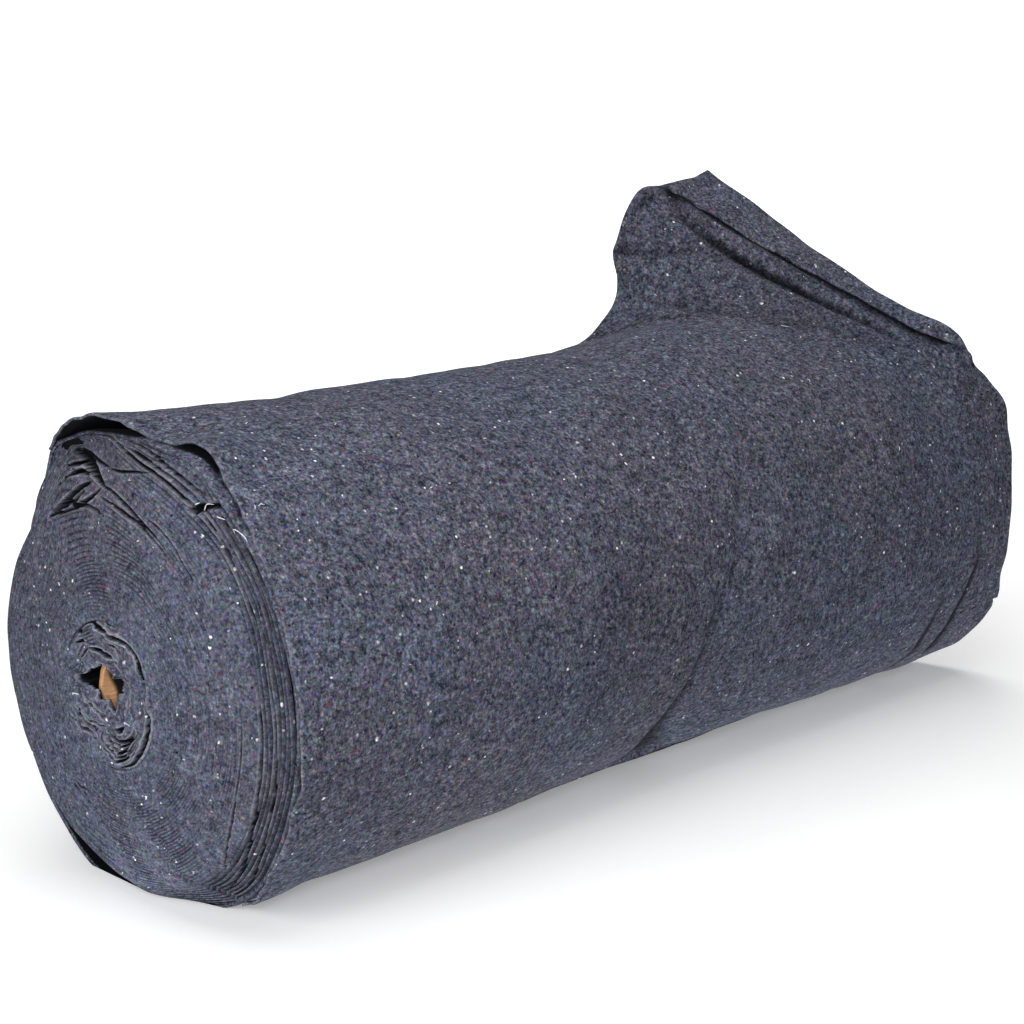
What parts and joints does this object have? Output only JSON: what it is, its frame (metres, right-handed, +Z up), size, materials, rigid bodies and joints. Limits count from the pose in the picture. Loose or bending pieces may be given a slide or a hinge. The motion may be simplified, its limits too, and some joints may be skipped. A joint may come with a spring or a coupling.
{
  "type": "roll of geotextile fabric",
  "caption": "Roll of thick recycled-fibre felt on a cardboard tube, lying on its side with the cut end of its outermost turn folded and standing up.",
  "frame": {"origin": "middle of the flat spot under the roll, halfway along the fabric's width, on the surface it rests on", "axes": "+X along the roll from its coned end to the end with the standing flap, +Y to the back, +Z up"},
  "size_m": [1.0697, 0.4188, 0.5621],
  "materials": {
    "felt": "matt needle-punched felt of mixed grey-blue recycled fibres with light and coloured flecks",
    "cardboard": "bare spiral-wound brown board"
  },
  "bodies": {
    "root": {"core_tube": "cardboard", "wound_roll": "felt", "loose_lap": "felt"}
  },
  "joints": []
}
